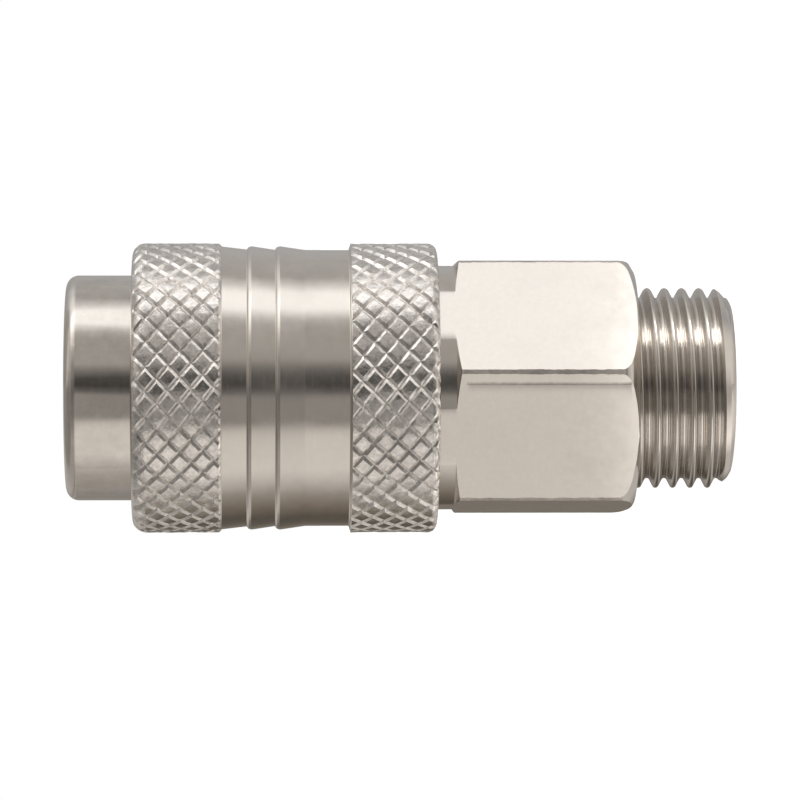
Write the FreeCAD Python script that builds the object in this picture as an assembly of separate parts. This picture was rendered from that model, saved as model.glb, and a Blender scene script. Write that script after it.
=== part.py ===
"""Pneumatic quick coupling: a ball-lock socket with a knurled release sleeve, a hexagon and a male pipe thread.

It stands on its thread end: the axis is Z, the thread's end face is at height 0 and the plug mouth is on top.
Sizes are in millimetres.
"""
import math
import os

import FreeCAD
import Part

# Driving sizes, seen from outside
thread_d = 20.955            # major diameter of a G 1/2 pipe thread
thread_pitch = 25.4 / 14
thread_angle = 55.0          # between the flanks
thread_length = 10.1
thread_chamfer = 1.55        # axial length of the lead-in at the thread's end
hex_across_flats = 25.0
hex_length = 18.9
sleeve_gap = 1.7             # bare neck between the hexagon and the sleeve
sleeve_length = 31.7
sleeve_wall = 2.15           # from the sleeve's bore to the tips of its knurling
nose_length = 6.9            # what stands out of the sleeve
plug_bore_d = 16.5           # bore for the plug's collar, at the balls

# Hexagon and neck
face_margin = 0.3            # the end face stops this far inside the flats
face_chamfer = 30.0          # degrees
top_chamfer = 17.5
corner_trim = 0.12           # what turning has taken off the hexagon's corners
neck_step = 0.35             # the neck is this much outside the flats
edge_chamfer = 0.4           # small broken edges

# Fits
neck_clearance = 0.15        # sleeve on the adapter's neck
nose_clearance = 0.15        # sleeve round the nose
land_clearance = 0.06        # locking land on the ball carrier
ball_clearance = 0.03        # ball in its hole
screw_clearance = 0.05       # socket body in the adapter
seat_clearance = 0.02        # faces that meet between two moving pieces
guide_clearance = 0.15       # poppet in its chamber
spring_clearance = 0.2       # springs in their bores
spring_seat = 0.08           # springs on their seats
washer_clearance = 0.15      # thrust washer between the carrier and the sleeve

# Ball lock
ball_d = 3.0
ball_count = 10
lock_depth = 0.5             # how far a locked ball stands into the plug bore
ball_slack = 0.5             # how much further it can drop when no plug is in
ball_cover = 0.1             # how far the locking land reaches past the balls' middle
land_tail = 1.0              # land behind the balls
hole_wall = 0.3              # metal between a ball hole and the nose collar
stop_width = 0.45            # ring of the nose collar on which the sleeve stops
recess_clearance = 0.05

# Stop, travel and stack of the sleeve
gap_left = 0.2               # gap that is left at the hexagon when the sleeve is back
cover_left = 0.1             # how much of the collar the sleeve still covers then
washer_thickness = 1.0

# Knurled sleeve, outside
front_band_length = 8.0
rear_band_length = 8.95
rim_corner = 0.55            # rounding of the smooth rim at each end
waist_depth = 0.71           # from the knurl tops down to the plain waist
ridge_depth = 0.33           # from the knurl tops down to the grip ridges
first_slope = 3.9
tooth_slope = 2.65
tooth_rise = 0.4
knurl_count = 36             # diamonds round the sleeve
knurl_rows = 4               # diamonds along a band
knurl_depth = 0.3
knurl_flat = 0.66            # flat top of a diamond, as a share of its size
run_out = 0.04               # plain surfaces beside a band lie this far below its grooves

# Socket body, inside
nose_corner = 1.3
mouth_chamfer = 1.1
guide_step = 0.25            # the mouth is this much wider than the plug bore, on the radius
guide_wall = 0.4             # plug bore left above the balls
bore_tail = 4.0              # plug bore below the balls
tip_step = 1.45              # from the plug bore in to the bore for the plug's tip
tip_slope = 0.8              # height of that step over its width
seal_cord_d = 2.6
seal_squeeze = 0.25          # how far the plug seal stands into the tip bore
groove_play = 0.5
groove_land = 1.0            # tip bore above the seal groove
seat_land = 3.7              # tip bore between the seal groove and the valve seat

# Screwed joint, valve and air way
neck_length = 13.0
spigot_step = 0.5
spigot_wall = 1.1
spigot_length = 9.0
gasket_thickness = 1.0
pocket_step = 1.0
pocket_depth = 8.0
passage_d = 11.0
passage_chamfer = 0.8
valve_travel = 4.5
valve_stop_gap = 0.3
valve_seal_thickness = 1.2
valve_seal_overlap = 0.8     # how far the rubber reaches past the seat's edge
head_thickness = 2.1
flat_depth = 1.0             # the four flats that let the air past the poppet
pusher_wall = 1.4
pusher_gap = 1.2             # air way round the pusher in the tip bore
pusher_height = 5.0
pusher_corner = 0.4
window_rise = 0.4            # from the valve seat up to the windows
window_width = 5.0
window_height = 3.0
cup_wall = 0.9
valve_wire_d = 0.9
valve_turns = 5              # active coils
sleeve_turns = 3

# Radii that follow, from the plug bore outward
plug_bore_r = plug_bore_d / 2
ball_r = ball_d / 2
land_r = plug_bore_r + ball_d - lock_depth
carrier_r = land_r - land_clearance
recess_r = land_r + lock_depth + recess_clearance
nose_r = recess_r + stop_width
front_bore_r = nose_r + nose_clearance
guide_r = plug_bore_r + guide_step
tip_bore_r = plug_bore_r - tip_step
groove_r = tip_bore_r + seal_cord_d - seal_squeeze
spigot_r = carrier_r - spigot_step
socket_r = spigot_r + screw_clearance
chamber_r = spigot_r - spigot_wall
pocket_r = chamber_r - pocket_step
passage_r = passage_d / 2

# Radii that follow, from the hexagon
hex_corner_r = hex_across_flats / math.sqrt(3)
corner_r = hex_corner_r - corner_trim
face_r = hex_across_flats / 2 - face_margin
neck_r = hex_across_flats / 2 + neck_step
sleeve_bore_r = neck_r + neck_clearance
knurl_r = sleeve_bore_r + sleeve_wall
thread_r = thread_d / 2
thread_depth = 0.64 * thread_pitch
thread_flank = thread_depth * math.tan(math.radians(thread_angle / 2))
thread_flat = thread_pitch / 2 - thread_flank
thread_root_r = thread_r - thread_depth
groove_bottom_r = knurl_r - knurl_depth
rim_r = groove_bottom_r - run_out

# Heights that follow, from the thread's end upward
hex_base = thread_length
hex_top = hex_base + hex_length
adapter_top = hex_top + neck_length
adapter_seat = adapter_top - spigot_length - gasket_thickness
pocket_floor = adapter_seat - pocket_depth
sleeve_rear = hex_top + sleeve_gap
sleeve_front = sleeve_rear + sleeve_length
nose_front = sleeve_front + nose_length
sleeve_travel = sleeve_gap - gap_left
collar_back = sleeve_front - sleeve_travel - cover_left
ball_hole_r = ball_r + ball_clearance
ball_z = collar_back - hole_wall - ball_hole_r
ball_rest_r = land_r - ball_slack - ball_r
land_front = ball_z + ball_cover
land_back = ball_z - ball_r - land_tail
guide_bottom = ball_z + ball_hole_r + guide_wall
bore_bottom = ball_z - ball_r - bore_tail
tip_top = bore_bottom - tip_step * tip_slope
groove_top = tip_top - groove_land
groove_bottom = groove_top - seal_cord_d - groove_play
seat_z = groove_bottom - seat_land
head_top = seat_z - seat_clearance - valve_seal_thickness
head_bottom = head_top - head_thickness
skirt_bottom = adapter_seat + valve_travel + valve_stop_gap
washer_top = land_back - seat_clearance
washer_bottom = washer_top - washer_thickness


def outline_edges(points, closed):
    """Lines through (radius, height) points, with an arc where a point has a corner radius as third value."""
    edges = []
    arrive = []
    leave = []
    count = len(points)
    for i, point in enumerate(points):
        here = FreeCAD.Vector(point[0], 0, point[1])
        corner = point[2] if len(point) > 2 else 0.0
        back = FreeCAD.Vector(points[i - 1][0], 0, points[i - 1][1]) - here
        ahead = FreeCAD.Vector(points[(i + 1) % count][0], 0, points[(i + 1) % count][1]) - here
        if corner == 0.0:
            arrive.append(here)
            leave.append(here)
            continue
        back.normalize()
        ahead.normalize()
        half = back.getAngle(ahead) / 2
        start = here + back * (corner / math.tan(half))
        end = here + ahead * (corner / math.tan(half))
        inward = (back + ahead).normalize()
        middle = here + inward * (corner / math.sin(half) - corner)
        edges.append(Part.Arc(start, middle, end).toShape())
        arrive.append(start)
        leave.append(end)
    lines = count if closed else count - 1
    for i in range(lines):
        edges.append(Part.LineSegment(leave[i], arrive[(i + 1) % count]).toShape())
    return edges


def turned(points):
    """Solid of revolution about Z from a closed outline."""
    outline = Part.Wire(Part.__sortEdges__(outline_edges(points, True)))
    return Part.Face(outline).revolve(FreeCAD.Vector(0, 0, 0), FreeCAD.Vector(0, 0, 1), 360)


def turned_faces(points):
    """Surfaces of revolution about Z along an open outline."""
    edges = outline_edges(points, False)
    return [edge.revolve(FreeCAD.Vector(0, 0, 0), FreeCAD.Vector(0, 0, 1), 360) for edge in edges]


def sewn(faces):
    """Solid from faces that close round it."""
    skin = Part.Compound(faces)
    skin.sewShape()
    solid = Part.makeSolid(skin.Shells[0])
    if solid.Volume < 0:
        solid.reverse()
    return solid


def prism(sides, across_flats, bottom, top, first_corner):
    """Upright prism with a regular outline; first_corner is the angle of one corner in degrees."""
    radius = across_flats / 2 / math.cos(math.pi / sides)
    corners = []
    for i in range(sides + 1):
        angle = math.radians(first_corner + 360.0 * i / sides)
        corners.append(FreeCAD.Vector(radius * math.cos(angle), radius * math.sin(angle), bottom))
    return Part.Face(Part.makePolygon(corners)).extrude(FreeCAD.Vector(0, 0, top - bottom))


def spring(mean_r, wire_d, bottom, top, turns):
    """Round-wire spring with a closed coil at each end, as tilted half turns that run level where they meet."""
    closed = [wire_d * 0.52] * 2
    low = bottom + spring_seat + wire_d / 2
    active = top - spring_seat - wire_d / 2 - low - sum(closed) * 2
    rises = closed + [active / (2 * turns)] * (2 * turns) + closed
    faces = []
    side = 1
    height = low
    for rise in rises:
        start = FreeCAD.Vector(side * mean_r, 0, height)
        centre = FreeCAD.Vector(0, 0, height + rise / 2)
        along = FreeCAD.Vector(0, side, 0)
        section = Part.makeCircle(wire_d / 2, start, along)
        if not faces:
            faces.append(Part.Face(Part.Wire(section)))
        faces.append(section.revolve(centre, (start - centre).cross(along), 180))
        side = -side
        height += rise
    tip = Part.makeCircle(wire_d / 2, FreeCAD.Vector(side * mean_r, 0, height), FreeCAD.Vector(0, side, 0))
    faces.append(Part.Face(Part.Wire(tip)))
    return sewn(faces)


def ball_angle(index):
    return 360.0 * index / ball_count


def thread_outline():
    """The thread as rings, with its true pitch, depth and angle, from the lead-in up to the hexagon's face."""
    crests = int((thread_length - thread_chamfer - thread_flat - thread_flank) / thread_pitch) + 1
    points = []
    for i in range(crests):
        bottom = thread_chamfer + i * thread_pitch
        top = bottom + thread_flat
        points.append((thread_r, bottom))
        points.append((thread_r, top))
        points.append((thread_root_r, top + thread_flank))
        points.append((thread_root_r, top + thread_flank + thread_flat))
    points[-1] = (thread_root_r, hex_base)
    return points


def hex_adapter():
    """Thread, hexagon and neck, with the socket for the body, the valve spring's pocket and the air passage."""
    face_rise = (corner_r - face_r) * math.tan(math.radians(face_chamfer))
    top_fall = (corner_r - neck_r) * math.tan(math.radians(top_chamfer))
    blank = turned([
        (passage_r + passage_chamfer, 0),
        (thread_root_r, 0),
    ] + thread_outline() + [
        (face_r, hex_base),
        (corner_r, hex_base + face_rise),
        (corner_r, hex_top - top_fall),
        (neck_r, hex_top),
        (neck_r, adapter_top - edge_chamfer),
        (neck_r - edge_chamfer, adapter_top),
        (socket_r, adapter_top),
        (socket_r, adapter_seat),
        (pocket_r, adapter_seat),
        (pocket_r, pocket_floor),
        (passage_r, pocket_floor),
        (passage_r, passage_chamfer),
    ])
    return blank.common(prism(6, hex_across_flats, -1, adapter_top + 1, 90))


def ball_hole(index):
    """Round-ended cutter, so that the ball rests on the rounded end and can't fall into the bore."""
    arc = Part.Arc(FreeCAD.Vector(0, 0, -ball_hole_r),
                   FreeCAD.Vector(ball_hole_r * math.sqrt(0.5), 0, -ball_hole_r * math.sqrt(0.5)),
                   FreeCAD.Vector(ball_hole_r, 0, 0))
    top = carrier_r + 1 - ball_rest_r
    side = Part.makePolygon([FreeCAD.Vector(ball_hole_r, 0, 0), FreeCAD.Vector(ball_hole_r, 0, top),
                             FreeCAD.Vector(0, 0, top), FreeCAD.Vector(0, 0, -ball_hole_r)])
    outline = Part.Wire([arc.toShape()] + side.Edges)
    cutter = Part.Face(outline).revolve(FreeCAD.Vector(0, 0, 0), FreeCAD.Vector(0, 0, 1), 360)
    cutter.rotate(FreeCAD.Vector(0, 0, 0), FreeCAD.Vector(0, 1, 0), 90)
    cutter.translate(FreeCAD.Vector(ball_rest_r, 0, ball_z))
    cutter.rotate(FreeCAD.Vector(0, 0, 0), FreeCAD.Vector(0, 0, 1), ball_angle(index))
    return cutter


def socket_body():
    """Nose, ball carrier and screwed spigot, with the mouth, plug bore, seal groove, valve seat and chamber."""
    spigot_bottom = adapter_seat + gasket_thickness
    blank = turned([
        (guide_r + mouth_chamfer, nose_front),
        (guide_r, nose_front - mouth_chamfer),
        (guide_r, guide_bottom),
        (plug_bore_r, guide_bottom - guide_step),
        (plug_bore_r, bore_bottom),
        (tip_bore_r, tip_top),
        (tip_bore_r, groove_top),
        (groove_r, groove_top),
        (groove_r, groove_bottom),
        (tip_bore_r, groove_bottom),
        (tip_bore_r, seat_z),
        (chamber_r, seat_z),
        (chamber_r, spigot_bottom),
        (spigot_r - edge_chamfer, spigot_bottom),
        (spigot_r, spigot_bottom + edge_chamfer),
        (spigot_r, adapter_top),
        (carrier_r, adapter_top),
        (carrier_r, collar_back),
        (nose_r, collar_back),
        (nose_r, nose_front, nose_corner),
    ])
    return blank.cut(Part.makeCompound([ball_hole(i) for i in range(ball_count)]))


def knurl_point(radius, around, height):
    """Point on the sleeve; around counts diamonds from +X."""
    angle = 2 * math.pi * around / knurl_count
    return FreeCAD.Vector(radius * math.cos(angle), radius * math.sin(angle), height)


def half_diamond(left, right, left_foot, right_foot, tip, foot):
    """Flat top and four sloping sides of a diamond, from its middle to one of its points."""
    corners = [(left, right, tip), (left, tip, left_foot), (tip, foot, left_foot),
               (right, right_foot, tip), (tip, right_foot, foot)]
    return [Part.Face(Part.makePolygon([a, b, c, a])) for a, b, c in corners]


def knurled_band(bottom, top, bottom_r, top_r):
    """Faces of a knurled band and its two end outlines, where the diamonds come down to a given radius."""
    last = 2 * knurl_rows
    half = (top - bottom) / last
    faces = []
    ends = []
    for row in range(last + 1):
        height = bottom + row * half
        row_r = {0: bottom_r, last: top_r}.get(row, knurl_r)
        rim = []
        for i in range(knurl_count):
            middle = i + row % 2 / 2
            left = knurl_point(row_r, middle - knurl_flat / 2, height)
            right = knurl_point(row_r, middle + knurl_flat / 2, height)
            left_foot = knurl_point(groove_bottom_r, middle - 0.5, height)
            right_foot = knurl_point(groove_bottom_r, middle + 0.5, height)
            rim += [left_foot, left, right]
            for side in (-1, 1):
                if 0 <= row + side <= last:
                    tip = knurl_point(knurl_r, middle, height + side * half * knurl_flat)
                    foot = knurl_point(groove_bottom_r, middle, height + side * half)
                    faces += half_diamond(left, right, left_foot, right_foot, tip, foot)
        if row in (0, last):
            ends.append(Part.makePolygon(rim + rim[:1]))
    return faces, ends


def band_end(outline, radius, height):
    """Flat ring between the end of a knurled band and the plain surface beside it."""
    circle = Part.makeCircle(radius, FreeCAD.Vector(0, 0, height))
    return Part.makeFace([outline, Part.Wire(circle)], "Part::FaceMakerBullseye")


def sleeve():
    """Release sleeve: stop step, ball recess, ramp and locking land inside; knurl and grip ridges outside."""
    waist_r = knurl_r - waist_depth
    ridge_r = knurl_r - ridge_depth
    stop_z = collar_back - seat_clearance
    ramp_top = land_front + recess_r - land_r
    rear_bottom = sleeve_rear + rim_corner
    rear_top = sleeve_rear + rear_band_length
    front_bottom = sleeve_front - front_band_length
    front_top = sleeve_front - rim_corner
    first_valley = front_bottom - first_slope
    second_valley = first_valley - tooth_rise - tooth_slope
    waist_top = second_valley - tooth_rise - tooth_slope
    rear_faces, rear_ends = knurled_band(rear_bottom, rear_top, groove_bottom_r, knurl_r)
    front_faces, front_ends = knurled_band(front_bottom, front_top, knurl_r, groove_bottom_r)
    waist = turned_faces([
        (waist_r, rear_top),
        (waist_r, waist_top),
        (ridge_r, second_valley - tooth_rise),
        (waist_r, second_valley),
        (ridge_r, first_valley - tooth_rise),
        (waist_r, first_valley),
        (ridge_r, front_bottom),
    ])
    bore = turned_faces([
        (rim_r, front_top),
        (rim_r, sleeve_front, rim_corner * 0.9),
        (front_bore_r + edge_chamfer, sleeve_front),
        (front_bore_r, sleeve_front - edge_chamfer),
        (front_bore_r, stop_z),
        (recess_r, stop_z),
        (recess_r, ramp_top),
        (land_r, land_front),
        (land_r, land_back),
        (sleeve_bore_r, land_back),
        (sleeve_bore_r, sleeve_rear + edge_chamfer),
        (sleeve_bore_r + edge_chamfer, sleeve_rear),
        (rim_r, sleeve_rear, rim_corner * 0.9),
        (rim_r, rear_bottom),
    ])
    ends = [
        band_end(rear_ends[0], rim_r, rear_bottom),
        band_end(rear_ends[1], waist_r, rear_top),
        band_end(front_ends[0], ridge_r, front_bottom),
        band_end(front_ends[1], rim_r, front_top),
    ]
    return sewn(rear_faces + front_faces + waist + bore + ends)


def ring(inner_r, outer_r, bottom, top):
    return turned([(inner_r, bottom), (outer_r, bottom), (outer_r, top), (inner_r, top)])


def thrust_washer():
    inner_r = carrier_r + washer_clearance
    outer_r = sleeve_bore_r - washer_clearance
    return ring(inner_r, outer_r, washer_bottom, washer_top)


def body_gasket():
    return ring(chamber_r, spigot_r - edge_chamfer, adapter_seat, adapter_seat + gasket_thickness)


def locking_ball(index):
    ball = Part.makeSphere(ball_r)
    ball.translate(FreeCAD.Vector(ball_rest_r, 0, ball_z))
    ball.rotate(FreeCAD.Vector(0, 0, 0), FreeCAD.Vector(0, 0, 1), ball_angle(index))
    return ball


def plug_seal():
    mean_r = groove_r - seat_clearance - seal_cord_d / 2
    middle = (groove_top + groove_bottom) / 2
    return Part.makeTorus(mean_r, seal_cord_d / 2, FreeCAD.Vector(0, 0, middle))


def sleeve_spring():
    wire_d = (sleeve_bore_r - carrier_r) * 0.5
    return spring((carrier_r + sleeve_bore_r) / 2, wire_d, adapter_top, washer_bottom, sleeve_turns)


def valve_cup_r():
    return chamber_r - guide_clearance - flat_depth - cup_wall


def valve_spring():
    mean_r = valve_cup_r() - spring_clearance - valve_wire_d / 2
    return spring(mean_r, valve_wire_d, pocket_floor, head_bottom, valve_turns)


def pusher_r():
    return tip_bore_r - pusher_gap


def valve_poppet():
    """Spring cup, head and pusher; four flats let the air past, and cross windows lead it into the pusher."""
    guide_r_out = chamber_r - guide_clearance
    top = seat_z + pusher_height
    inner_r = pusher_r() - pusher_wall
    blank = turned([
        (0, head_bottom),
        (valve_cup_r(), head_bottom),
        (valve_cup_r(), skirt_bottom),
        (guide_r_out - edge_chamfer, skirt_bottom),
        (guide_r_out, skirt_bottom + edge_chamfer),
        (guide_r_out, head_top - edge_chamfer),
        (guide_r_out - edge_chamfer, head_top),
        (pusher_r(), head_top),
        (pusher_r(), top, pusher_corner),
        (inner_r, top),
        (inner_r, head_top),
        (0, head_top),
    ])
    squared = blank.common(prism(4, 2 * (guide_r_out - flat_depth), skirt_bottom - 1, top + 1, 0))
    window_bottom = seat_z + window_rise
    span = 2 * pusher_r() + 2
    window = Part.makeBox(span, window_width, window_height,
                          FreeCAD.Vector(-span / 2, -window_width / 2, window_bottom))
    crossed = window.copy()
    crossed.rotate(FreeCAD.Vector(0, 0, 0), FreeCAD.Vector(0, 0, 1), 90)
    return squared.cut(Part.makeCompound([window, crossed]))


def valve_seal():
    outer_r = tip_bore_r + valve_seal_overlap
    bottom = head_top
    return ring(pusher_r() + seat_clearance, outer_r, bottom, bottom + valve_seal_thickness)


def pieces():
    made = {
        "hex_adapter": hex_adapter(),
        "socket_body": socket_body(),
        "sleeve": sleeve(),
        "thrust_washer": thrust_washer(),
        "sleeve_spring": sleeve_spring(),
        "plug_seal": plug_seal(),
        "valve_poppet": valve_poppet(),
        "valve_seal": valve_seal(),
        "valve_spring": valve_spring(),
        "body_gasket": body_gasket(),
    }
    for i in range(ball_count):
        made["locking_ball_%d" % (i + 1)] = locking_ball(i)
    return made


os.makedirs("parts", exist_ok=True)
for name, shape in pieces().items():
    shape.exportStep("parts/%s.step" % name)
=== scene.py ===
"""Looks of the pneumatic quick coupling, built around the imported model.

The coupling stands on its thread end with its axis along Z. The camera is rolled, so that the picture
shows it lying with its nose to the left, as the photograph does. Lengths are in millimetres until a
mesh is made.
"""
import math
import random

import bmesh
import bpy
from mathutils import Matrix, Vector, noise


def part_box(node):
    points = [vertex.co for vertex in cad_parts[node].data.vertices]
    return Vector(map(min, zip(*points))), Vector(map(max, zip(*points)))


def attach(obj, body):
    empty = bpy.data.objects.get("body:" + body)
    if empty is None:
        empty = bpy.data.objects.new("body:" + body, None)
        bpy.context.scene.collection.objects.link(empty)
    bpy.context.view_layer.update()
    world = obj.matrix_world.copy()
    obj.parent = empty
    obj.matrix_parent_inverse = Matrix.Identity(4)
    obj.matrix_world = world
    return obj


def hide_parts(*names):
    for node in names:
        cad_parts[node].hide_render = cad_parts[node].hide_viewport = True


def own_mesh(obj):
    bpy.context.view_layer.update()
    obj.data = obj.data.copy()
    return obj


MM = 0.001
TURN = 2 * math.pi

# Adapter, as in the solids; heights are from the thread's end
THREAD_R = 20.955 / 2
HEX_SIDES = 6
HEX_BASE = 10.1
HEX_TOP = HEX_BASE + 18.9
HEX_FLAT_R = 25.0 / 2
HEX_CORNER_R = 14.31
HEX_FACE_R = HEX_FLAT_R - 0.3    # the end face toward the thread stops here
FACE_CHAMFER = math.radians(30)
TOP_CHAMFER = math.radians(17.5)
NECK_R = HEX_FLAT_R + 0.35
ADAPTER_TOP = HEX_TOP + 13.0
ADAPTER_SEAT = ADAPTER_TOP - 10.0
POCKET_FLOOR = ADAPTER_SEAT - 8.0
SOCKET_R = 10.24
POCKET_R = 8.09
PASSAGE_R = 5.5
PASSAGE_CHAMFER = 0.8
EDGE_CHAMFER = 0.4

# Edges and wear of the hexagon
FACE_ROUND = 0.15
BASE_ROUND = 1.6             # the corners run into the chamfer toward the thread in a wide curve
TOP_ROUND = 0.12
FACE_OVERLAP = 0.1           # the end face begins this far inside the thread's roots
CORNER_WEAR = 0.03           # depth of the wear, times its level with two noises added
WEAR_LEVEL = 0.5
BROAD_WEAR = 0.9             # waves of wear for each millimetre along a corner
FINE_WEAR = 3.1
BROAD_LAYER = 0.5            # layers of the noise that the two are taken from
FINE_LAYER = 9.5
WEAR_STEP = 5.3              # from one corner to the next, in the noise
SCORE_SIDE = 4               # flat with a fine scored line, beside the corner that faces the camera
SCORE_PLACE = 5.9            # from the middle of the flat
SCORE_HALF = 0.18
SCORE_DEPTH = 0.04
SCORE_BOTTOM = 11.2
SCORE_TOP = 27.9
FLAT_STEPS = 6
CORNER_STEPS = 26
UPRIGHT = 0.97               # faces of the hexagon's sides have at least this much of their normal level
CORNER_MARGIN = 0.5          # worn corners lie at least this far outside the neck

# Thread
PITCH = 1.814
FLANK_ANGLE = math.radians(27.5)
THREAD_DEPTH = 1.02
THREAD_ROUND = (PITCH / 2 / math.tan(FLANK_ANGLE) - THREAD_DEPTH) / (2 / math.sin(FLANK_ANGLE) - 2)
THREAD_BEND = THREAD_ROUND * math.cos(FLANK_ANGLE)    # from a crest to the end of its rounding
THREAD_CREST_Z = 8.6         # height of a crest at the top edge of the picture
THREAD_COLUMNS = 180
BEND_STEPS = 5
SPARE_TURNS = 3              # the grid of the thread starts below its end and runs past the hexagon
LEAD_DROP = 1.2              # the lead-in chamfer's depth at the end face, before it is rounded off
LEAD_SLOPE = 0.74
LEAD_CURVE = 1.2             # how fast it rounds off below the height that follows
LEAD_CURVE_Z = 0.5
LEAD_MARGIN = 0.03           # faces this close to the chamfer count as part of it

# Sleeve; the front band is as long as the photograph shows it, a little longer than in the solid
SLEEVE_REAR = HEX_TOP + 1.7
SLEEVE_FRONT = SLEEVE_REAR + 31.7
SLEEVE_BORE_R = NECK_R + 0.15
KNURL_R = SLEEVE_BORE_R + 2.15
REAR_BAND = 8.95
FRONT_BAND = 9.0
PLUG_BORE_R = 16.5 / 2
BALL = 3.0
LOCK_DEPTH = 0.5             # how far a locked ball stands into the plug bore
LAND_R = PLUG_BORE_R + BALL - LOCK_DEPTH
LAND_FRONT = 59.07
LAND_BACK = 56.47
RECESS_R = LAND_R + LOCK_DEPTH + 0.05
NOSE_R = 23.5 / 2
FRONT_BORE_R = NOSE_R + 0.15
STOP_Z = 60.78

# Waist, grip ridges and rounded edges of the sleeve
WAIST_R = KNURL_R - 0.72
RIDGE_R = KNURL_R - 0.33
FIRST_VALLEY = 50.5          # heights of the valleys in front of the two ridges
SECOND_VALLEY = 47.55
FIRST_FOOT = 0.05            # how far the valleys lie outside the waist
SECOND_FOOT = 0.02
CREST_BACK = 0.5             # a ridge's crest, behind its valley
CREST_ROUND = 0.3
SHOULDER_BACK = 0.18         # where the crest ends and the steep side begins
SHOULDER_DROP = 0.1
SHOULDER_ROUND = 0.1
VALLEY_ROUND = 0.08
RISE_LENGTH = 3.15           # from the plain waist up to the second valley
RISE_ROUND = 3.0
REAR_RIM_ROUND = 0.9
FRONT_RIM_ROUND = 1.4
REAR_STEP = 0.22             # length of the slope from the rear band down to the waist
REAR_STEP_ROUND = 0.08
WAIST_ROUND = 0.15
FRONT_STEP = 0.3             # length and depth of the slope below the front band
FRONT_STEP_DROP = 0.36
FRONT_STEP_ROUND = 0.05

# Knurling
KNURL_COUNT = 36             # diamonds round the sleeve
KNURL_PITCH = 2.34           # along the axis
SLEEVE_COLUMNS = 8 * KNURL_COUNT
GROOVE_FLOOR = 0.015         # half width of a groove's floor, as a share of a diamond
GROOVE_EDGE = 0.175          # half width at the top
TOP_STEP = 0.32              # one more row of points on the diamond's top
DEEP_GROOVE = 0.17
SHALLOW_GROOVE = 0.14
GROOVE_FADE = 0.4            # the grooves begin to fade where a rim has fallen this far
GROOVE_END = 0.75            # and end where it has fallen this far
DIAMOND_TILT = 0.06          # how far a diamond's top may lean, and how far it bulges
DIAMOND_BULGE = 0.07
FRONT_TWIST = -0.08          # drift of the rows round the sleeve, in mm for each mm of height
REAR_TWIST = -0.13
EDGE_SEARCH = 400            # steps in the search for a band's edge
NEAR_END = 0.01              # the search stops this far from the sleeve's end faces
CUT_REACH = 1e-6             # points this close to a cut count as on it
ROW_SEED = 1000              # seeds from row to row, so that each diamond has its own

# Springs and travel
RELEASE_WIRE_R = 1.155 / 2
RELEASE_TURNS = 3
POPPET_WIRE_R = 0.45
POPPET_TURNS = 5
CLOSED_PITCH = 1.04          # rise of a closed end coil, in wire diameters
SPRING_STEPS = 40            # rings of points in a turn
WIRE_SIDES = 14
SLEEVE_TRAVEL = 1.5
VALVE_TRAVEL = 4.5

# Meshes
ARC_STEPS = 8
MERGE_REACH = 0.0008
LONGEST_STEP = 0.2
ADAPTER_SHARP = 24.0         # degrees above which an edge is shaded sharp
SLEEVE_SHARP = 20.0
SPRING_SHARP = 60.0
NODE_SHARP = 24.0
NODE_MERGE = 1e-7            # in metres

# Material slots: the adapter's four, and the sleeve's second
TURNED_SLOT = 0
FLAT_SLOT = 1
EDGE_SLOT = 2
THREAD_SLOT = 3
KNURL_SLOT = 1

# Surface noises: waves for each metre, and the range in which a noise mostly lies
STAIN_SCALE = 130.0
MOTTLE_SCALE = 700.0
LINE_SCALE = 6000.0
SPECKLE_SCALE = 4000.0
DENT_SCALE = 2000.0
SKIN_SCALE = 2500.0
DUST_SCALE = 300.0
NOISE_LOW = 0.3
NOISE_HIGH = 0.7
GLOSS_SWING = 0.03           # how far stains and turning lines change the roughness
MOTTLE_SWING = 0.04

# Camera
CAMERA_TURN = -96.5          # degrees round the axis, from +X
CAMERA_DISTANCE = 520.0
CAMERA_Z = 50.1
AIM_Z = 34.46
AIM_DROP = 1.26              # the axis lies this far above the picture's middle
PICTURE_SPAN = 83.77         # width of the picture at the axis
SENSOR = 36.0


def new_object(name, data):
    obj = bpy.data.objects.new(name, data)
    bpy.context.scene.collection.objects.link(obj)
    return obj


def finish_mesh(bm, name, sharp_degrees):
    """Object from a bmesh in millimetres, merged, and shaded smooth between its sharp edges."""
    bmesh.ops.remove_doubles(bm, verts=bm.verts, dist=MERGE_REACH)
    bmesh.ops.dissolve_degenerate(bm, edges=bm.edges, dist=MERGE_REACH)
    bmesh.ops.scale(bm, vec=Vector((MM, MM, MM)), verts=bm.verts)
    for face in bm.faces:
        face.smooth = True
    mesh = bpy.data.meshes.new(name)
    bm.to_mesh(mesh)
    bm.free()
    mesh.set_sharp_from_angle(angle=math.radians(sharp_degrees))
    obj = new_object(name, mesh)
    even_normals(obj)
    return obj


def even_normals(obj):
    """Lets large faces decide the shading, so that straight runs stay straight beside small roundings."""
    weighted = obj.modifiers.new("even normals", "WEIGHTED_NORMAL")
    weighted.mode = "FACE_AREA"
    weighted.keep_sharp = True


def polar(radius, angle, height):
    return Vector((radius * math.cos(angle), radius * math.sin(angle), height))


def bridge(bm, low, high):
    """Quads between two counter-clockwise rings of points; they face outward where high is above low."""
    count = len(low)
    for i in range(count):
        j = (i + 1) % count
        bm.faces.new((low[i], low[j], high[j], high[i]))


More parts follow.
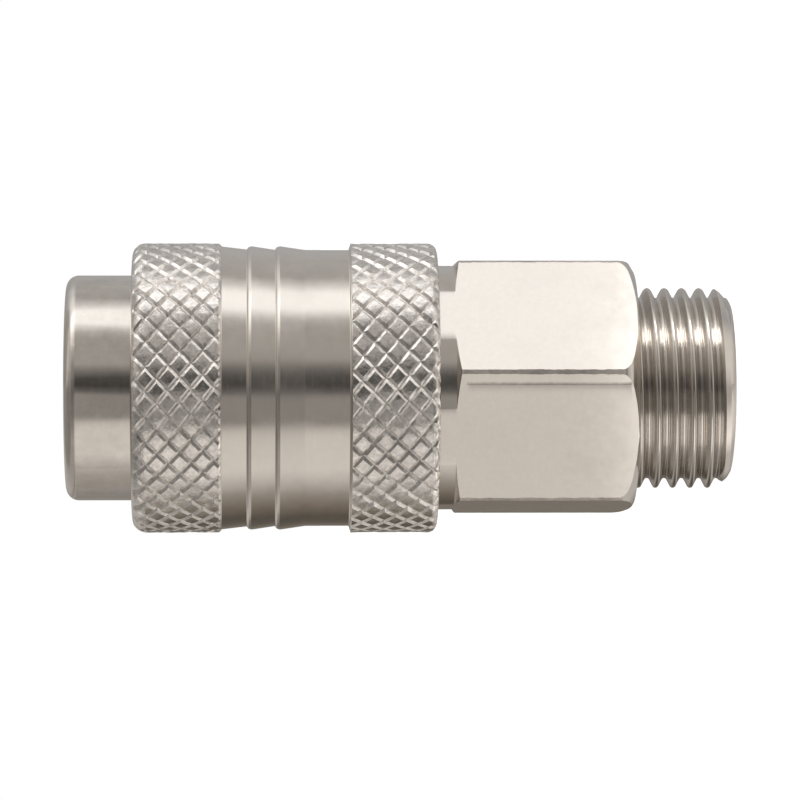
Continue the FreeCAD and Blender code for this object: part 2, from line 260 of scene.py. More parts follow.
def rounded(points):
    """(radius, height) outline from points that may have a corner radius as third value, made an arc."""
    outline = []
    for i, point in enumerate(points):
        here = Vector((point[0], point[1]))
        if len(point) < 3 or i in (0, len(points) - 1):
            outline.append(here)
            continue
        back = (Vector(points[i - 1][:2]) - here).normalized()
        ahead = (Vector(points[i + 1][:2]) - here).normalized()
        half = back.angle(ahead) / 2
        reach = point[2] / math.tan(half)
        centre = here + (back + ahead).normalized() * (point[2] / math.sin(half))
        start = here + back * reach - centre
        sweep = start.angle_signed(here + ahead * reach - centre)
        for step in range(ARC_STEPS + 1):
            turned = Matrix.Rotation(-sweep * step / ARC_STEPS, 2) @ start
            outline.append(centre + turned)
    return outline


def divided(outline):
    """The same outline with more points where its radius changes fast, and along the hexagon's corners."""
    points = [outline[0]]
    for start, end in zip(outline, outline[1:]):
        along_corner = min(start[0], end[0]) > NECK_R
        reach = (end - start).length if along_corner else abs(end[0] - start[0])
        parts = max(1, math.ceil(reach / LONGEST_STEP))
        for i in range(parts):
            points.append(start.lerp(end, (i + 1) / parts))
    return points


def lathe(bm, points, columns):
    """Turned surface through an outline that runs upward on the outside."""
    rings = []
    for radius, height in rounded(points):
        rings.append([bm.verts.new(polar(radius, TURN * i / columns, height)) for i in range(columns)])
    for low, high in zip(rings, rings[1:]):
        bridge(bm, low, high)


def corner_radius(side, radius, height):
    """Radius at one of the hexagon's corners, which are worn a little unevenly along their length."""
    broad = noise.noise(Vector((WEAR_STEP * side, BROAD_WEAR * height, BROAD_LAYER)))
    fine = noise.noise(Vector((WEAR_STEP * side, FINE_WEAR * height, FINE_LAYER)))
    return min(radius, HEX_CORNER_R - CORNER_WEAR * max(0.0, WEAR_LEVEL + broad + fine))


def score_places(start, end, height):
    """Places across a flat and depths of the scored line, kept between the ends of the flat."""
    depth = SCORE_DEPTH if SCORE_BOTTOM < height < SCORE_TOP else 0.0
    places = []
    for off in (-1, -0.5, 0, 0.5, 1):
        place = SCORE_PLACE + off * SCORE_HALF
        places.append((min(max(place, start), end), depth * (1 - abs(off))))
    return places


def hex_ring(bm, radius, height):
    """Ring of a turned radius cut by the hexagon's flats: six straight runs and six arcs."""
    corners = [corner_radius(side, radius, height) for side in range(HEX_SIDES)]
    halves = [math.acos(min(1.0, HEX_FLAT_R / corner)) for corner in corners]
    points = []
    for side in range(HEX_SIDES):
        middle = TURN * side / HEX_SIDES
        start = -HEX_FLAT_R * math.tan(halves[side - 1])
        end = HEX_FLAT_R * math.tan(halves[side])
        places = [(start + (end - start) * i / FLAT_STEPS, 0.0) for i in range(FLAT_STEPS)]
        if side == SCORE_SIDE:
            places = sorted(places + score_places(start, end, height))
        for place, depth in places:
            angle = math.atan2(place, HEX_FLAT_R)
            reach = min(radius, (HEX_FLAT_R - depth) / math.cos(angle))
            points.append(polar(reach, middle + angle, height))
        sweep = TURN / HEX_SIDES - 2 * halves[side]
        for i in range(CORNER_STEPS):
            angle = middle + halves[side] + sweep * i / CORNER_STEPS
            points.append(polar(corners[side], angle, height))
    return [bm.verts.new(point) for point in points]


def thread_drop(away):
    """Depth of a pipe thread below its crests, at a distance along the axis from the nearest crest."""
    if away < THREAD_BEND:
        return THREAD_ROUND - math.sqrt(THREAD_ROUND ** 2 - away ** 2)
    if away > PITCH / 2 - THREAD_BEND:
        return THREAD_DEPTH - thread_drop(PITCH / 2 - away)
    return THREAD_ROUND * (1 - math.sin(FLANK_ANGLE)) + (away - THREAD_BEND) / math.tan(FLANK_ANGLE)


def thread_steps():
    """Distances from a crest, as far as the next one, at which the mesh of the thread has rows."""
    round_steps = [THREAD_BEND * math.sin(TURN / 4 * i / BEND_STEPS) for i in range(BEND_STEPS + 1)]
    root_steps = [PITCH / 2 - step for step in round_steps[::-1]]
    half = round_steps + root_steps
    return half + [PITCH - step for step in half[-2:0:-1]]


def thread_climb(angle):
    """Pitches that the thread has climbed from the picture's top edge."""
    return (angle - math.radians(CAMERA_TURN + 90)) / TURN


def lead_radius(height):
    """Radius of the lead-in chamfer, which is rounded off at the end face."""
    rounding = LEAD_CURVE * max(0.0, LEAD_CURVE_Z - height) ** 2
    return THREAD_R - LEAD_DROP + LEAD_SLOPE * height - rounding


def thread_radius(angle, height):
    """Radius of the thread, cut off by the lead-in chamfer at the end."""
    phase = (height - THREAD_CREST_Z) / PITCH - thread_climb(angle)
    drop = thread_drop(abs(phase - round(phase)) * PITCH)
    return min(THREAD_R - drop, lead_radius(height))


def add_thread(bm):
    """Helical grid: its rows climb with the thread, and are held between the end face and the hexagon."""
    steps = thread_steps()
    turns = int(HEX_BASE / PITCH) + SPARE_TURNS
    columns = []
    for c in range(THREAD_COLUMNS + 1):
        angle = TURN * c / THREAD_COLUMNS
        crest = THREAD_CREST_Z + (thread_climb(angle) - round(THREAD_CREST_Z / PITCH) - 1) * PITCH
        column = []
        for turn in range(turns):
            for step in steps:
                height = min(max(crest + turn * PITCH + step, 0.0), HEX_BASE)
                column.append(bm.verts.new(polar(thread_radius(angle, height), angle, height)))
        columns.append(column)
    for left, right in zip(columns, columns[1:]):
        for k in range(len(left) - 1):
            face = bm.faces.new((left[k], right[k], right[k + 1], left[k + 1]))
            middle = face.calc_center_median()
            on_lead = middle.xy.length > lead_radius(middle.z) - LEAD_MARGIN
            face.material_index = TURNED_SLOT if on_lead else THREAD_SLOT


def make_adapter():
    """Thread, hexagon, neck and bores, in place of the plain solid."""
    bm = bmesh.new()
    add_thread(bm)
    face_rise = (HEX_CORNER_R - HEX_FACE_R) * math.tan(FACE_CHAMFER)
    top_fall = (HEX_CORNER_R - NECK_R) * math.tan(TOP_CHAMFER)
    outline = rounded([
        (THREAD_R - THREAD_DEPTH - FACE_OVERLAP, HEX_BASE),
        (HEX_FACE_R, HEX_BASE, FACE_ROUND),
        (HEX_CORNER_R, HEX_BASE + face_rise, BASE_ROUND),
        (HEX_CORNER_R, HEX_TOP - top_fall, TOP_ROUND),
        (NECK_R, HEX_TOP),
        (NECK_R, ADAPTER_TOP - EDGE_CHAMFER),
        (NECK_R - EDGE_CHAMFER, ADAPTER_TOP),
    ])
    rings = [hex_ring(bm, radius, height) for radius, height in divided(outline)]
    for low, high in zip(rings, rings[1:]):
        bridge(bm, low, high)
    lathe(bm, [
        (NECK_R - EDGE_CHAMFER, ADAPTER_TOP),
        (SOCKET_R, ADAPTER_TOP),
        (SOCKET_R, ADAPTER_SEAT),
        (POCKET_R, ADAPTER_SEAT),
        (POCKET_R, POCKET_FLOOR),
        (PASSAGE_R, POCKET_FLOOR),
        (PASSAGE_R, PASSAGE_CHAMFER),
        (PASSAGE_R + PASSAGE_CHAMFER, 0),
        (thread_radius(0.0, 0.0), 0),
    ], THREAD_COLUMNS)
    adapter = finish_mesh(bm, "adapter", ADAPTER_SHARP)
    mark_hexagon(adapter)
    return adapter


def mark_hexagon(adapter):
    """Gives the hexagon's flats and its worn corners their own material slots."""
    for face in adapter.data.polygons:
        middle = face.center / MM
        across = Vector((middle.x, middle.y))
        normal = Vector((face.normal.x, face.normal.y))
        if middle.z < HEX_BASE or normal.length < UPRIGHT:
            continue
        if abs(across.dot(normal.normalized()) - HEX_FLAT_R) < 2 * SCORE_DEPTH:
            face.material_index = FLAT_SLOT
        elif across.length > NECK_R + CORNER_MARGIN:
            face.material_index = EDGE_SLOT


def grip_ridge(valley, foot):
    """Outline points of a grip ridge, up to the foot of its steep side in the valley in front of it."""
    return [
        (RIDGE_R, valley - CREST_BACK, CREST_ROUND),
        (RIDGE_R - SHOULDER_DROP, valley - SHOULDER_BACK, SHOULDER_ROUND),
        (WAIST_R + foot, valley, VALLEY_ROUND),
    ]


def sleeve_outline():
    """Outside of the sleeve from the rear face to the front face, with the grip ridges on its waist."""
    band_top = SLEEVE_REAR + REAR_BAND
    band_bottom = SLEEVE_FRONT - FRONT_BAND
    return rounded([
        (SLEEVE_BORE_R + EDGE_CHAMFER, SLEEVE_REAR),
        (KNURL_R, SLEEVE_REAR, REAR_RIM_ROUND),
        (KNURL_R, band_top, REAR_STEP_ROUND),
        (WAIST_R, band_top + REAR_STEP, WAIST_ROUND),
        (WAIST_R, SECOND_VALLEY - RISE_LENGTH, RISE_ROUND),
        *grip_ridge(SECOND_VALLEY, SECOND_FOOT),
        *grip_ridge(FIRST_VALLEY, FIRST_FOOT),
        (KNURL_R - FRONT_STEP_DROP, band_bottom - FRONT_STEP, WAIST_ROUND),
        (KNURL_R, band_bottom, FRONT_STEP_ROUND),
        (KNURL_R, SLEEVE_FRONT, FRONT_RIM_ROUND),
        (FRONT_BORE_R + EDGE_CHAMFER, SLEEVE_FRONT),
    ])


def outline_radius(outline, height):
    """Radius of an outline that runs upward, at a height."""
    for low, high in zip(outline, outline[1:]):
        if low[1] <= height <= high[1] and high[1] > low[1]:
            share = (height - low[1]) / (high[1] - low[1])
            return low[0] + (high[0] - low[0]) * share
    return outline[0][0] if height < outline[0][1] else outline[-1][0]


def groove_depth(place, depth):
    """Depth of a V groove; place is in diamonds, and grooves lie at whole numbers."""
    away = abs(place - round(place))
    return depth * min(max((GROOVE_EDGE - away) / (GROOVE_EDGE - GROOVE_FLOOR), 0.0), 1.0)


def diamond_drop(u, v):
    """Depth of a diamond's top below the knurl's radius: it leans its own way, and bulges a little."""
    row = math.floor(u) + math.floor(v)
    place = (math.floor(u) - math.floor(v)) % (2 * KNURL_COUNT)
    draw = random.Random(ROW_SEED * row + place)
    lean_u = draw.uniform(-DIAMOND_TILT, DIAMOND_TILT)
    lean_v = draw.uniform(-DIAMOND_TILT, DIAMOND_TILT)
    off_u = u - math.floor(u) - 0.5
    off_v = v - math.floor(v) - 0.5
    lean = lean_u * off_u + lean_v * off_v + (abs(lean_u) + abs(lean_v)) / 2
    return lean + 2 * DIAMOND_BULGE * (off_u ** 2 + off_v ** 2)


def knurl_depth(angle, height, rising, falling, twist):
    """Depth of the knurling: the deeper of two crossing sets of grooves, below the diamonds' tops."""
    along = height / KNURL_PITCH
    around = (angle - twist * height / KNURL_R) * KNURL_COUNT / TURN
    groove = max(groove_depth(along + around, rising), groove_depth(along - around, falling))
    return groove + diamond_drop(along + around, along - around)


def knurl_radius(outline, height, depth, rim_side):
    """Radius of the knurled band, whose grooves run out over the rim and stop short at the waist."""
    edge = outline_radius(outline, height)
    if not rim_side:
        return min(KNURL_R - depth, edge)
    fade = (GROOVE_END - KNURL_R + edge) / (GROOVE_END - GROOVE_FADE)
    return edge - depth * min(max(fade, 0.0), 1.0)


def add_diamond(bm, grid):
    """Faces of one diamond; where two grooves cross, they are split from its corner to the crossing."""
    size = len(grid) - 1
    flanks = (1, size - 2)
    for i in range(size):
        for j in range(size):
            a, b, c, d = grid[i][j], grid[i + 1][j], grid[i + 1][j + 1], grid[i][j + 1]
            if i not in flanks or j not in flanks:
                bm.faces.new((a, b, c, d))
            elif i == j:
                bm.faces.new((a, b, c))
                bm.faces.new((a, c, d))
            else:
                bm.faces.new((a, b, d))
                bm.faces.new((b, c, d))


def flat_diamonds(bottom, top, twist):
    """Flat grid of diamonds, with points at (angle, height), that reaches past both ends of a band."""
    flat = bmesh.new()
    half_steps = [0, GROOVE_FLOOR, GROOVE_EDGE, TOP_STEP, 0.5]
    steps = half_steps + [1 - step for step in half_steps[-2::-1]]
    first = int(2 * bottom / KNURL_PITCH) - 2
    last = int(2 * top / KNURL_PITCH) + 2
    for row in range(first, last):
        for place in range(row % 2, 2 * KNURL_COUNT, 2):
            u0 = (row + place) / 2
            v0 = (row - place) / 2
            grid = []
            for u in steps:
                line = []
                for v in steps:
                    along = (u0 + u + v0 + v) / 2 * KNURL_PITCH
                    around = (u0 + u - v0 - v) / 2 * TURN / KNURL_COUNT + twist * along / KNURL_R
                    line.append(flat.verts.new((around, along, 0)))
                grid.append(line)
            add_diamond(flat, grid)
    return flat


def cut_level(flat, height, side=0):
    """Cuts a flat grid at a height, and takes away what lies above it for side 1, or below it for -1."""
    everything = flat.verts[:] + flat.edges[:] + flat.faces[:]
    bmesh.ops.bisect_plane(flat, geom=everything, plane_co=(0, height, 0), plane_no=(0, side or 1, 0),
                           clear_outer=side != 0, dist=CUT_REACH)


def add_band(bm, outline, bottom, top, rim_above, rising, falling, twist):
    """Knurled band: flat diamonds, cut at its ends and at the outline's corners, and wrapped round."""
    flat = flat_diamonds(bottom, top, twist)
    for height in {round(point[1], 4) for point in outline if bottom < point[1] < top}:
        cut_level(flat, height)
    cut_level(flat, bottom, -1)
    cut_level(flat, top, 1)
    moved = {}
    for vert in flat.verts:
        angle, height = vert.co.x, vert.co.y
        depth = knurl_depth(angle, height, rising, falling, twist)
        rim_side = (height > (bottom + top) / 2) == rim_above
        moved[vert] = bm.verts.new(polar(knurl_radius(outline, height, depth, rim_side), angle, height))
    for face in flat.faces:
        made = bm.faces.new([moved[vert] for vert in face.verts])
        made.material_index = KNURL_SLOT
        made.normal_update()
        if made.normal.xy.dot(made.calc_center_median().xy) < 0:
            made.normal_flip()
    flat.free()


def band_edge(outline, from_height, to_height, drop):
    """Height between two, where the outline has dropped so far below the knurling."""
    for step in range(EDGE_SEARCH + 1):
        height = from_height + (to_height - from_height) * step / EDGE_SEARCH
        if outline_radius(outline, height) < KNURL_R - drop:
            return height
    return to_height


def make_sleeve():
    """Release sleeve with both knurled bands, the ridged waist and the stepped bore."""
    bm = bmesh.new()
    outline = sleeve_outline()
    rear_mid = SLEEVE_REAR + REAR_BAND / 2
    front_mid = SLEEVE_FRONT - FRONT_BAND / 2
    waist_drop = DEEP_GROOVE + DIAMOND_TILT + DIAMOND_BULGE / 2
    rear_low = band_edge(outline, rear_mid, SLEEVE_REAR + NEAR_END, GROOVE_END)
    rear_high = band_edge(outline, rear_mid, rear_mid + REAR_BAND, waist_drop)
    front_low = band_edge(outline, front_mid, front_mid - FRONT_BAND, waist_drop)
    front_high = band_edge(outline, front_mid, SLEEVE_FRONT - NEAR_END, GROOVE_END)
    add_band(bm, outline, rear_low, rear_high, False, SHALLOW_GROOVE, DEEP_GROOVE, REAR_TWIST)
    add_band(bm, outline, front_low, front_high, True, DEEP_GROOVE, SHALLOW_GROOVE, FRONT_TWIST)
    plain_runs = ((SLEEVE_REAR - 1, rear_low), (rear_high, front_low), (front_high, SLEEVE_FRONT + 1))
    for low, high in plain_runs:
        run = [tuple(point) for point in outline if low < point[1] < high]
        if low > SLEEVE_REAR:
            run.insert(0, (outline_radius(outline, low), low))
        if high < SLEEVE_FRONT:
            run.append((outline_radius(outline, high), high))
        lathe(bm, run, SLEEVE_COLUMNS)
    lathe(bm, [
        (FRONT_BORE_R + EDGE_CHAMFER, SLEEVE_FRONT),
        (FRONT_BORE_R, SLEEVE_FRONT - EDGE_CHAMFER),
        (FRONT_BORE_R, STOP_Z),
        (RECESS_R, STOP_Z),
        (RECESS_R, LAND_FRONT + RECESS_R - LAND_R),
        (LAND_R, LAND_FRONT),
        (LAND_R, LAND_BACK),
        (SLEEVE_BORE_R, LAND_BACK),
        (SLEEVE_BORE_R, SLEEVE_REAR + EDGE_CHAMFER),
        (SLEEVE_BORE_R + EDGE_CHAMFER, SLEEVE_REAR),
    ], SLEEVE_COLUMNS)
    return finish_mesh(bm, "release_sleeve", SLEEVE_SHARP)


def make_spring(name, node, wire_r, turns):
    """Spring with a closed coil at each end, as one smooth tube in the space of its solid."""
    low, high = (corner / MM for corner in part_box(node))
    mean_r = (high.x - low.x) / 2 - wire_r
    bottom = low.z + wire_r
    top = high.z - wire_r
    closed_rise = 2 * wire_r * CLOSED_PITCH
    bm = bmesh.new()
    rings = []
    for i in range((turns + 2) * SPRING_STEPS + 1):
        t = i / SPRING_STEPS
        open_share = min(max(t - 1, 0), turns) / turns
        closed_share = (t - open_share * turns) / 2
        open_rise = top - bottom - 2 * closed_rise
        height = bottom + 2 * closed_rise * closed_share + open_rise * open_share
        ring = []
        for k in range(WIRE_SIDES):
            angle = TURN * k / WIRE_SIDES
            radius = mean_r + wire_r * math.cos(angle)
            ring.append(bm.verts.new(polar(radius, TURN * t, height + wire_r * math.sin(angle))))
        rings.append(ring)
    for a, b in zip(rings, rings[1:]):
        bridge(bm, b, a)
    bm.faces.new(rings[0][::-1])
    bm.faces.new(rings[-1])
    return finish_mesh(bm, name, SPRING_SHARP)


def smooth_node(obj):
    """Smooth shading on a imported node, by modifiers only, so that its own points stay as they are."""
    for face in obj.data.polygons:
        face.use_smooth = True
    weld = obj.modifiers.new("weld", "WELD")
    weld.merge_threshold = NODE_MERGE
    split = obj.modifiers.new("sharp edges", "EDGE_SPLIT")
    split.split_angle = math.radians(NODE_SHARP)
    even_normals(obj)


class Nodes:
    """Short way of adding and linking shader nodes."""

    def __init__(self, material):
        material.use_nodes = True
        self.tree = material.node_tree
        self.tree.nodes.clear()

    def add(self, kind, inputs=None, **settings):
        node = self.tree.nodes.new(kind)
        for key, value in settings.items():
            setattr(node, key, value)
        for key, value in (inputs or {}).items():
            if isinstance(value, bpy.types.NodeSocket):
                self.tree.links.new(value, node.inputs[key])
            else:
                node.inputs[key].default_value = value
        return node

    def ramp(self, factor, stops):
        node = self.add("ShaderNodeValToRGB", {"Fac": factor})
        elements = node.color_ramp.elements
        elements.remove(elements[1])
        elements[0].position = stops[0][0]
        elements[0].color = (*stops[0][1], 1.0)
        for place, colour in stops[1:]:
            elements.new(place).color = (*colour, 1.0)
        return node.outputs["Color"]

    def range(self, value, low, high, to_low, to_high):
        inputs = {"Value": value, "From Min": low, "From Max": high, "To Min": to_low, "To Max": to_high}
        return self.add("ShaderNodeMapRange", inputs).outputs["Result"]

    def spread(self, noise_value, to_low, to_high):
        """Takes a noise from its usual range to another."""
        return self.range(noise_value, NOISE_LOW, NOISE_HIGH, to_low, to_high)

    def math(self, operation, first, second=0.0):
        return self.add("ShaderNodeMath", {0: first, 1: second}, operation=operation).outputs[0]

    def mix(self, share, first, second):
        inputs = {"Factor": share, "A": first, "B": second}
        return self.add("ShaderNodeMix", inputs, data_type="RGBA").outputs["Result"]

    def noise(self, place, scale, detail):
        inputs = {"Vector": place, "Scale": scale, "Detail": detail, "Roughness": 0.6}
        return self.add("ShaderNodeTexNoise", inputs).outputs["Fac"]

    def surface(self, colour, metallic, roughness, bump):
        inputs = {"Base Color": colour, "Metallic": metallic, "Roughness": roughness,
                  "Normal": bump.outputs["Normal"]}
        shader = self.add("ShaderNodeBsdfPrincipled", inputs)
        self.add("ShaderNodeOutputMaterial", {"Surface": shader.outputs["BSDF"]})


def round_coordinates(nodes):
    """The place itself, and (distance from the axis, 0, height), in which a noise follows turning marks."""
    place = nodes.add("ShaderNodeTexCoord").outputs["Object"]
    split = nodes.add("ShaderNodeSeparateXYZ", {0: place})
    x, y, z = split.outputs
    squares = nodes.math("ADD", nodes.math("MULTIPLY", x, x), nodes.math("MULTIPLY", y, y))
    away = nodes.math("SQRT", squares)
    return place, nodes.add("ShaderNodeCombineXYZ", {"X": away, "Z": z}).outputs[0]


def scaled(colour, factor):
    return [min(1.0, channel * factor) for channel in colour]


def metal(name, colour, roughness, turned=0.0, grain=0.0, blotch=0.02, dents=0.0, grit=0.0):
    """Plated or plain metal: turning marks, a fine grain, small dents, and stains in colour and gloss."""
    material = bpy.data.materials.new(name)
    nodes = Nodes(material)
    place, around = round_coordinates(nodes)
    stain = nodes.noise(place, STAIN_SCALE, 5.0)
    mottle = nodes.noise(place, MOTTLE_SCALE, 4.0)
    lines = nodes.noise(around, LINE_SCALE, 2.0)
    speckle = nodes.noise(place, SPECKLE_SCALE, 2.0)
    dent = nodes.noise(place, DENT_SCALE, 2.0)
    dark = scaled(colour, 1 - 3 * blotch)
    pale = scaled(colour, 1 + blotch)
    broad = nodes.ramp(stain, [(NOISE_LOW, dark), (0.5, colour), (NOISE_HIGH, pale)])
    fine = nodes.spread(mottle, 1 - 2 * blotch, 1 + blotch)
    shade = nodes.math("MULTIPLY", fine, nodes.spread(dent, 1 - grit, 1 + grit))
    tint = nodes.add("ShaderNodeVectorMath", {0: broad, "Scale": shade}, operation="SCALE").outputs[0]
    uneven = nodes.spread(stain, roughness - GLOSS_SWING, roughness + GLOSS_SWING)
    streak = nodes.spread(lines, -GLOSS_SWING, GLOSS_SWING)
    patches = nodes.spread(mottle, -GLOSS_SWING, MOTTLE_SWING)
    gloss = nodes.math("ADD", uneven, nodes.math("ADD", streak, patches))
    marks = nodes.math("MULTIPLY", lines, turned)
    height = nodes.math("ADD", marks, nodes.math("MULTIPLY", speckle, grain))
    height = nodes.math("ADD", height, nodes.math("MULTIPLY", dent, dents))
    bump = nodes.add("ShaderNodeBump", {"Height": height, "Strength": 1.0, "Distance": MM})
    nodes.surface(tint, 1.0, gloss, bump)
    return material


def rubber(name, colour):
    """Moulded rubber or plastic: satin, with a fine uneven skin."""
    material = bpy.data.materials.new(name)
    nodes = Nodes(material)
    place, _ = round_coordinates(nodes)
    skin = nodes.noise(place, SKIN_SCALE, 4.0)
    dust = nodes.noise(place, DUST_SCALE, 4.0)
    paler = [min(1.0, channel * 1.3 + 0.01) for channel in colour]
    tint = nodes.ramp(dust, [(0.35, colour), (0.7, paler)])
    gloss = nodes.spread(dust, 0.42, 0.6)
    bump = nodes.add("ShaderNodeBump", {"Height": skin, "Strength": 0.25, "Distance": 0.02 * MM})
    nodes.surface(tint, 0.0, gloss, bump)
    return material


def dress(obj, *materials):
    """Fills the material slots one by one: clearing the list would also reset which face uses which."""
    slots = obj.data.materials
    for i, material in enumerate(materials):
        if i < len(slots):
            slots[i] = material
        else:
            slots.append(material)


# The studio: degrees round the axis from the camera's side, brightness, and warmth. Square to the axis
# there is a dark gap at the camera, a large soft light above it, a warm bounce below it, and grey walls
# behind
STUDIO = [
    (-180, 0.30, 2), (-165, 0.20, 3), (-150, 0.12, 3), (-135, 0.10, 3), (-116, 0.20, 3.5),
    (-100, 0.32, 2), (-84, 0.58, 1), (-72, 0.75, 1), (-42, 0.71, 1), (-36, 0.62, 1), (-29, 0.29, 1),
    (-8, 0.31, 1), (-4, 0.14, 1), (2, 0.06, 1), (10, 0.085, 1), (17, 0.2, 1), (24, 0.4, 1),
    (52, 0.41, 1), (59, 0.52, 0.5), (69, 1.2, 0), (86, 1.2, 0), (94, 0.75, 0), (104, 0.43, 0.5),
    (114, 0.45, 0.5), (150, 0.46, 0), (172, 0.4, 0.5),
]
# The same for rays that lean toward the nose and toward the thread, and for the ends of the room
LEFT_WALL = [
    (-180, 0.5, 1), (-110, 0.38, 1), (-60, 0.36, 1), (-30, 0.2, 1), (0, 0.15, 1), (25, 0.3, 1),
    (45, 0.6, 1), (60, 1.1, 0.5), (80, 1.7, 0), (95, 1.0, 0), (125, 0.65, 0), (148, 0.45, 0),
    (179, 0.35, 1),
]
RIGHT_WALL = [
    (-180, 0.5, 1), (-110, 0.6, 1), (-60, 0.45, 1), (-30, 0.2, 1), (0, 0.15, 1), (25, 0.3, 1),
    (45, 0.6, 1), (62, 1.0, 0.5), (76, 1.0, 0), (92, 0.55, 0), (125, 0.4, 0), (148, 0.45, 0),
    (179, 0.35, 1),
]
LEFT_END = [
    (-180, 0.3, 1), (-50, 0.22, 1), (-5, 0.22, 1), (40, 0.5, 1), (65, 0.62, 1), (85, 0.62, 1),
    (105, 0.4, 1), (179, 0.3, 1),
]
RIGHT_END = [
    (-180, 0.6, 1), (-110, 1.2, 1), (-75, 0.8, 1), (-45, 0.45, 1), (0, 0.45, 1), (60, 0.75, 1),
    (90, 0.75, 1), (140, 0.6, 1), (179, 0.5, 1),
]
# How far a ray leans along the axis where a wall begins to show, and where it alone shows
WALL_LEANS = [
    (LEFT_WALL, 0.1, 0.35),
    (RIGHT_WALL, -0.25, -0.45),
    (LEFT_END, 0.6, 0.75),
    (RIGHT_END, -0.7, -0.85),
]
WARM = (1.0, 0.963, 0.92)
WHITE = (1, 1, 1, 1)
FLOOR_HALF = 3.0             # in metres
FLOOR_COLOUR = (0.75, 0.74, 0.73, 1)
FLOOR_GLOW = 0.82


def warmed(level, warmth):
    return [level * (1 - warmth * (1 - channel)) for channel in WARM]


def wall_stops(wall):
    return [((degrees + 180) / 360, warmed(level, warmth)) for degrees, level, warmth in wall]


def make_studio():
    """World light for the metal to reflect; the camera itself sees plain white behind the object."""
    world = bpy.data.worlds.new("studio")
    bpy.context.scene.world = world
    nodes = Nodes(world)
    direction = nodes.add("ShaderNodeTexCoord").outputs["Generated"]
    x, y, z = nodes.add("ShaderNodeSeparateXYZ", {0: direction}).outputs
    turn = nodes.math("DIVIDE", nodes.math("ARCTAN2", y, x), TURN)
    # half a turn puts the camera's side in the middle of the tables, and a whole one keeps the sum above 0
    share = nodes.math("FRACT", nodes.math("ADD", turn, 1.5 - CAMERA_TURN / 360))
    light = nodes.ramp(share, wall_stops(STUDIO))
    for wall, begins, full in WALL_LEANS:
        part = nodes.range(z, begins, full, 0.0, 1.0)
        light = nodes.mix(part, light, nodes.ramp(share, wall_stops(wall)))
    seen = nodes.add("ShaderNodeLightPath").outputs["Is Camera Ray"]
    background = nodes.add("ShaderNodeBackground", {"Color": nodes.mix(seen, light, WHITE)})
    nodes.add("ShaderNodeOutputWorld", {"Surface": background.outputs["Background"]})


def picture_directions():
    """Unit vectors from the axis toward the camera and toward the picture's top."""
    turn = math.radians(CAMERA_TURN)
    toward = Vector((math.cos(turn), math.sin(turn), 0))
    return toward, Vector((-toward.y, toward.x, 0))


def add_lamp(name, degrees, distance, width, bottom, top, level, spread):
    """Soft lamp near the object, at an angle round the axis from the camera's side.

    Its power follows from its area, so that with one spread a level is as bright at any size.
    """
    toward, up = picture_directions()
    turn = math.radians(degrees)
    back = toward * math.cos(turn) + up * math.sin(turn)
    along = Vector((0, 0, 1))
    lamp = bpy.data.lights.new(name, "AREA")
    lamp.shape = "RECTANGLE"
    lamp.size = width * MM
    lamp.size_y = (top - bottom) * MM
    lamp.spread = math.radians(spread)
    lamp.energy = level * math.pi * lamp.size * lamp.size_y
    obj = new_object(name, lamp)
    place = Matrix.Translation((back * distance + along * (bottom + top) / 2) * MM)
    obj.matrix_world = place @ Matrix((along.cross(back), along, back)).transposed().to_4x4()
    obj.visible_camera = False


def make_lamps():
    """A small light and a fill for the thread, and a fill for the nose, each fading toward the rest."""
    add_lamp("thread_light", degrees=67.0, distance=68.6, width=24.0, bottom=-21.0, top=-1.0,
             level=1.3, spread=60.0)
    add_lamp("thread_fill", degrees=-53.3, distance=64.2, width=49.0, bottom=-25.0, top=5.0,
             level=0.31, spread=110.0)
    add_lamp("nose_light", degrees=-130.0, distance=63.6, width=127.0, bottom=63.0, top=81.0,
             level=0.06, spread=100.0)


def make_floor():
    """Plain pale floor under the thread's end, which leaves the light on the metal as it is."""
    mesh = bpy.data.meshes.new("floor")
    signs = ((-1, -1), (1, -1), (1, 1), (-1, 1))
    corners = [(x * FLOOR_HALF, y * FLOOR_HALF, 0) for x, y in signs]
    mesh.from_pydata(corners, [], [(0, 1, 2, 3)])
    floor = new_object("floor", mesh)
    material = bpy.data.materials.new("pale_floor")
    nodes = Nodes(material)
    matt = nodes.add("ShaderNodeBsdfDiffuse", {"Color": FLOOR_COLOUR})
    glow = nodes.add("ShaderNodeEmission", {"Color": WHITE, "Strength": FLOOR_GLOW})
    both = nodes.add("ShaderNodeAddShader", {0: matt.outputs[0], 1: glow.outputs[0]})
    clear = nodes.add("ShaderNodeBsdfTransparent")
    seen = nodes.add("ShaderNodeLightPath").outputs["Is Camera Ray"]
    mixed = nodes.add("ShaderNodeMixShader", {0: seen, 1: clear.outputs[0], 2: both.outputs[0]})
    nodes.add("ShaderNodeOutputMaterial", {"Surface": mixed.outputs[0]})
    dress(floor, material)


def make_camera():
    """Camera at the photograph's angle, rolled so that the axis lies across the picture."""
    toward, up = picture_directions()
    drop = -up * AIM_DROP
    place = (toward * CAMERA_DISTANCE + drop + Vector((0, 0, CAMERA_Z))) * MM
    aim = (drop + Vector((0, 0, AIM_Z))) * MM
    back = (place - aim).normalized()
    right = up.cross(back).normalized()
    upright = back.cross(right)
    camera = new_object("camera", bpy.data.cameras.new("camera"))
    turned = Matrix((right, upright, back)).transposed().to_4x4()
    camera.matrix_world = Matrix.Translation(place) @ turned
    camera.data.sensor_width = SENSOR
    camera.data.lens = SENSOR * (place - aim).length / (PICTURE_SPAN * MM)
    camera.data.clip_start = 10 * MM
    bpy.context.scene.camera = camera


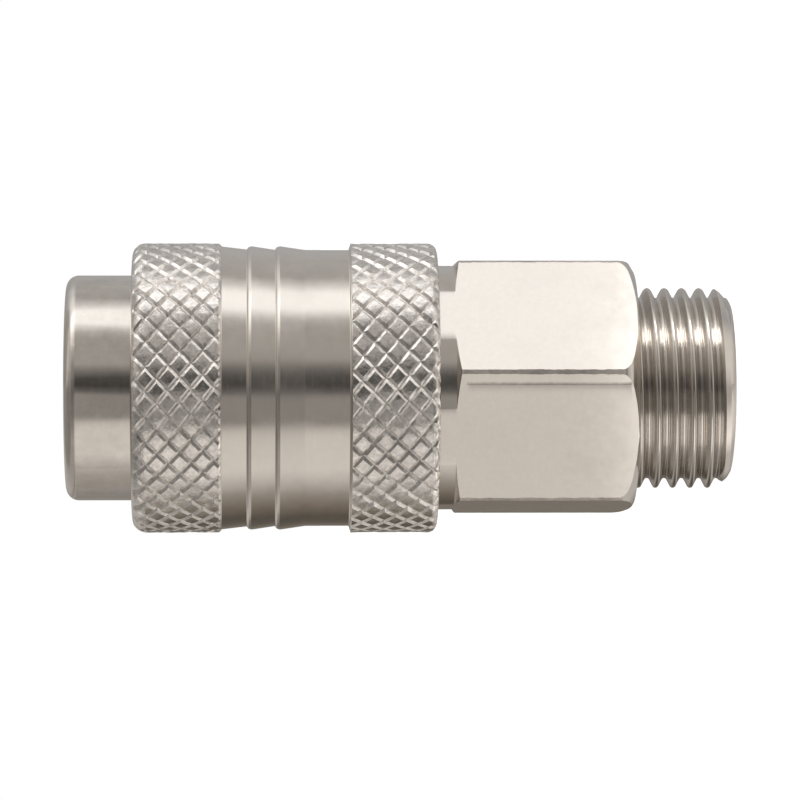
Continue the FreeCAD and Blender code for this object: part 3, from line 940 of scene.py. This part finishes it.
def dress_nodes(nodes, plated, plated_nose, steel, black, pale):
    """Materials for the solids that are shown as they are."""
    for name, obj in nodes.items():
        smooth_node(obj)
        if name.startswith("locking_ball") or name == "thrust_washer":
            dress(obj, steel)
        elif name in ("plug_seal", "valve_seal"):
            dress(obj, black)
        elif name == "body_gasket":
            dress(obj, pale)
        elif name == "socket_body":
            dress(obj, plated_nose)
        elif name == "valve_poppet":
            dress(obj, plated)


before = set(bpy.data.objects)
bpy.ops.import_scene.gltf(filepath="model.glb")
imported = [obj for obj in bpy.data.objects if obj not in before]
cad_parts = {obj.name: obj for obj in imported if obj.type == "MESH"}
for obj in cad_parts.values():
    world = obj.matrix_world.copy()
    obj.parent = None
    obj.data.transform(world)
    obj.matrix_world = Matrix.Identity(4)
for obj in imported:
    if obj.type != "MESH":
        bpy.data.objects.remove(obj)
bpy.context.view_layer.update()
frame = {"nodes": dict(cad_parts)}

nickel = (0.80, 0.747, 0.69)
plated = metal("plated_turned", nickel, 0.14, turned=0.0002)
plated_nose = metal("plated_nose", scaled(nickel, 0.985), 0.1, turned=0.0002, blotch=0.035, grit=0.02)
plated_flat = metal("plated_flat", nickel, 0.2, grain=0.0012, blotch=0.015, grit=0.015)
plated_edge = metal("plated_edge", nickel, 0.45, blotch=0.06, grit=0.12)
plated_knurl = metal("plated_knurl", (0.88, 0.835, 0.79), 0.2, blotch=0.05, dents=0.03, grit=0.15)
# the thread's metal is darker than the rest of the plating, 0.82 of its colour
plated_thread = metal("plated_thread", scaled(nickel, 0.82), 0.19, turned=0.0002)
steel = metal("bright_steel", (0.62, 0.62, 0.63), 0.12, grain=0.0002)
spring_steel = metal("spring_steel", (0.5, 0.5, 0.5), 0.25, grain=0.0005)
black = rubber("black_rubber", (0.022, 0.022, 0.023))
pale = rubber("pale_gasket", (0.72, 0.7, 0.65))

dress_nodes(frame["nodes"], plated, plated_nose, steel, black, pale)

adapter = make_adapter()
dress(adapter, plated, plated_flat, plated_edge, plated_thread)
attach(adapter, "coupling")
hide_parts("hex_adapter")

sleeve = make_sleeve()
dress(sleeve, plated, plated_knurl)
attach(sleeve, "sleeve")
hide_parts("sleeve")

for name, node, wire_r, turns, joint, travel in (
        ("release_spring", "sleeve_spring", RELEASE_WIRE_R, RELEASE_TURNS, "sleeve_slide", SLEEVE_TRAVEL),
        ("poppet_spring", "valve_spring", POPPET_WIRE_R, POPPET_TURNS, "valve_slide", VALVE_TRAVEL)):
    coil = make_spring(name, node, wire_r, turns)
    dress(coil, spring_steel)
    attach(coil, "coupling")
    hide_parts(node)
    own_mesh(coil)

make_studio()
make_lamps()
make_floor()
make_camera()
bpy.context.scene.view_settings.view_transform = "Standard"
